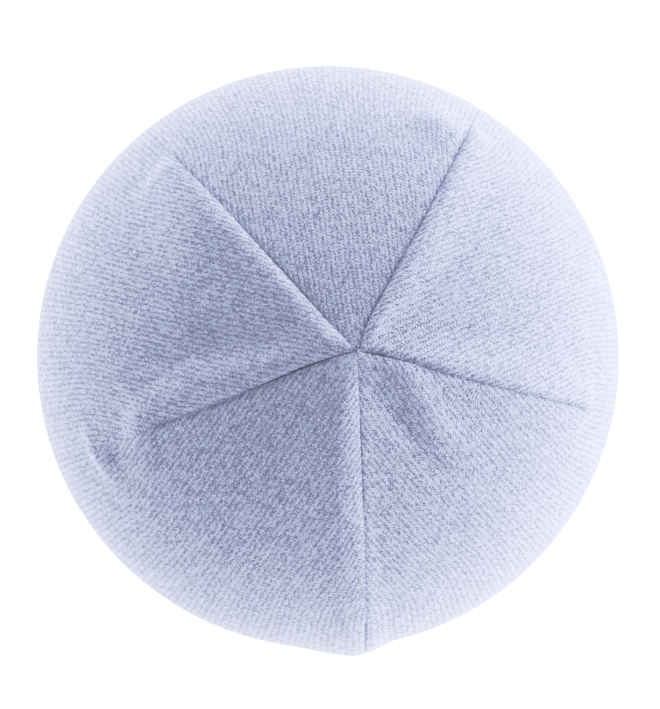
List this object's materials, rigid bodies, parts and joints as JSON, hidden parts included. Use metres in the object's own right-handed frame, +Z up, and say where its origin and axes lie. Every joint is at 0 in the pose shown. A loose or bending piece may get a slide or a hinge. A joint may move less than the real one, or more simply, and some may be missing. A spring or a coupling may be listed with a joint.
{
  "type": "beanie",
  "caption": "Fine rib-knit beanie, filled out and standing on its rim, with a domed crown gathered by darts and a back seam.",
  "frame": {"origin": "on the floor under the middle of the hat's outline, in the plane of the rim", "axes": "+Z up through the crown, +Y to the front of the hat, the back seam on the -Y side, +X to the wearer's right"},
  "size_m": [0.19, 0.1922, 0.1667],
  "materials": {
    "rib_knit": "soft brushed rib knit, pale lavender blue",
    "seam_cloth": "turned-under rib knit, overlocked edge"
  },
  "bodies": {
    "root": {"knit_body": "rib_knit", "seam_strip_front_right": "seam_cloth", "seam_strip_front_left": "seam_cloth", "seam_strip_left": "seam_cloth", "seam_strip_back": "seam_cloth", "seam_strip_right": "seam_cloth"}
  },
  "joints": []
}
